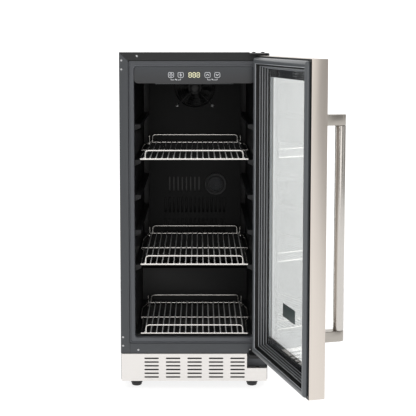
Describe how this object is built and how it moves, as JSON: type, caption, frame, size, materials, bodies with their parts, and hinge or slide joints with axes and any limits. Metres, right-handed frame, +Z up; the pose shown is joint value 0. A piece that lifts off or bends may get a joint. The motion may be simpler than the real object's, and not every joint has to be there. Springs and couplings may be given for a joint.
{
  "type": "mini fridge",
  "caption": "Under-counter drinks fridge with a glazed steel-framed door, wire shelves, display panel, vented kick plate and bar handle; door open.",
  "frame": {"origin": "on the floor, under the middle of the bounding box with the door open as stored", "axes": "+Z up; +Y from the door side to the back of the cabinet; +X towards the hinge side"},
  "size_m": [0.5279, 0.9572, 0.8707],
  "materials": {
    "aluminium": "satin",
    "black_plastic": "matte",
    "black_steel": "satin",
    "bright_wire": "polished",
    "circuit": "matte",
    "dark_panel": "gloss",
    "foam": "matte",
    "glass": "clear",
    "grey_paint": "satin",
    "grey_plastic": "matte",
    "grey_strip": "satin",
    "label_grey": "matte",
    "lamp_white": "matte",
    "rubber": "matte",
    "stainless": "brushed",
    "zinc_steel": "satin"
  },
  "bodies": {
    "cabinet": {"back_panel": "grey_paint", "base_pan": "zinc_steel", "bay_ceiling": "zinc_steel", "breaker_strip": "grey_strip", "cabinet_shell": "grey_paint", "compressor": "black_steel", "condenser_coil": "black_steel", "condenser_fan_frame": "black_plastic", "control_board": "circuit", "control_panel": "dark_panel", "cord_gland": "black_plastic", "corner_block": "grey_plastic", "display_window": "glass", "drain_tube": "grey_plastic", "duct_panel": "black_plastic", "evaporation_tray": "grey_plastic", "evaporator": "aluminium", "evaporator_fan_frame": "black_plastic", "fan_guard": "black_steel", "filter_cap": "black_plastic", "front_frame": "grey_paint", "hinge_lower": "black_steel", "hinge_upper": "black_steel", "inner_liner": "black_plastic", "insulation_foam": "foam", "kick_plate": "stainless", "light_strip": "lamp_white", "rear_cover": "grey_paint", "screw_lower_left": "zinc_steel", "screw_lower_right": "zinc_steel", "screw_upper_left": "zinc_steel", "screw_upper_right": "zinc_steel"},
    "door": {"door_skin": "stainless", "door_core": "foam", "door_inner_frame": "grey_paint", "outer_glass": "glass", "inner_glass": "glass", "glazing_spacer": "aluminium", "door_gasket": "rubber", "blank_label": "label_grey", "handle_bar": "stainless", "handle_bracket_upper": "stainless", "handle_bracket_lower": "stainless", "bush_lower": "grey_plastic", "bush_upper": "grey_plastic"},
    "evaporator_fan": {"evaporator_fan": "black_plastic"},
    "condenser_fan": {"condenser_fan": "black_plastic"},
    "shelf_upper": {"shelf_upper_grid": "bright_wire", "shelf_upper_front_guard": "bright_wire", "shelf_upper_rear_guard": "bright_wire"},
    "shelf_middle": {"shelf_middle_grid": "bright_wire", "shelf_middle_front_guard": "bright_wire", "shelf_middle_rear_guard": "bright_wire"},
    "shelf_lower": {"shelf_lower_grid": "bright_wire", "shelf_lower_front_guard": "bright_wire", "shelf_lower_rear_guard": "bright_wire"},
    "foot_front_left": {"foot_front_left": "black_plastic"},
    "foot_front_right": {"foot_front_right": "black_plastic"},
    "foot_back_left": {"foot_back_left": "black_plastic"},
    "foot_back_right": {"foot_back_right": "black_plastic"}
  },
  "joints": [
    {"name": "door_hinge", "type": "hinge", "parent": "cabinet", "child": "door", "pos_m": [0.10568, -0.11558, 0.4832], "axis": [0, 0, 1], "range_deg": [-105.3, 15]},
    {"name": "shelf_upper_slide", "type": "slide", "parent": "cabinet", "child": "shelf_upper", "axis": [0, -1, 0], "range_m": [0, 0.2]},
    {"name": "shelf_middle_slide", "type": "slide", "parent": "cabinet", "child": "shelf_middle", "axis": [0, -1, 0], "range_m": [0, 0.2]},
    {"name": "shelf_lower_slide", "type": "slide", "parent": "cabinet", "child": "shelf_lower", "axis": [0, -1, 0], "range_m": [0, 0.15]},
    {"name": "evaporator_fan_spin", "type": "hinge", "parent": "cabinet", "child": "evaporator_fan", "pos_m": [-0.07532, 0.39612, 0.7575], "axis": [0, 1, 0], "continuous": true},
    {"name": "condenser_fan_spin", "type": "hinge", "parent": "cabinet", "child": "condenser_fan", "pos_m": [-0.13032, 0.40882, 0.0852], "axis": [1, 0, 0], "continuous": true},
    {"name": "foot_front_left_adjust", "type": "slide", "parent": "cabinet", "child": "foot_front_left", "axis": [0, 0, -1], "range_m": [0, 0.012]},
    {"name": "foot_front_right_adjust", "type": "slide", "parent": "cabinet", "child": "foot_front_right", "axis": [0, 0, -1], "range_m": [0, 0.012]},
    {"name": "foot_back_left_adjust", "type": "slide", "parent": "cabinet", "child": "foot_back_left", "axis": [0, 0, -1], "range_m": [0, 0.012]},
    {"name": "foot_back_right_adjust", "type": "slide", "parent": "cabinet", "child": "foot_back_right", "axis": [0, 0, -1], "range_m": [0, 0.012]}
  ]
}
